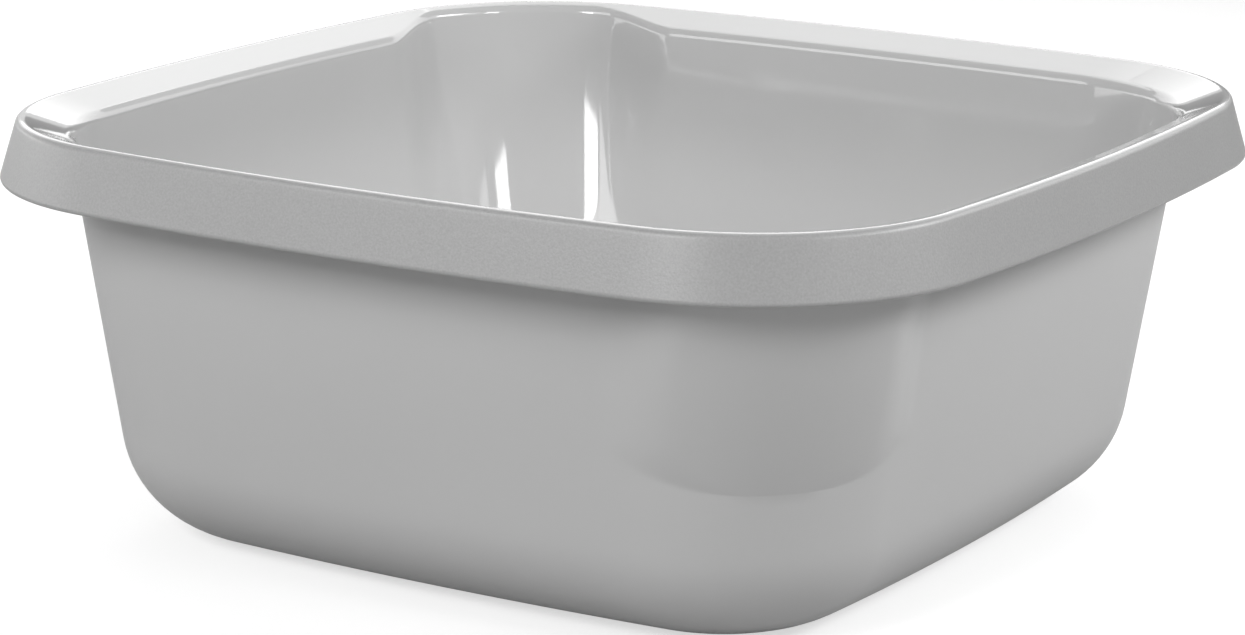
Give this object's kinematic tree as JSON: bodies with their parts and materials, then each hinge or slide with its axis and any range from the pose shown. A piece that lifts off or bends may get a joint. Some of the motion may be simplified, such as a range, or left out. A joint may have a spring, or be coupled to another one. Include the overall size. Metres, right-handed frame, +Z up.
{
  "type": "square bowl",
  "caption": "Square thin-walled plastic bowl for washing up, with bowed sides, a sloping ledge inside a turned-down rim and a pouring corner at each end of a diagonal.",
  "frame": {"origin": "middle of the underside, on the surface that the bowl stands on", "axes": "+Z up, out of the open basin; +X and +Y through the middles of two neighbouring sides, with the pouring corners at (+X, -Y) and (-X, +Y)"},
  "size_m": [0.3242, 0.3242, 0.1291],
  "materials": {
    "grey_plastic": "plain grey polypropylene with a satin gloss and a very fine grain"
  },
  "bodies": {
    "root": {"square_bowl": "grey_plastic"}
  },
  "joints": []
}
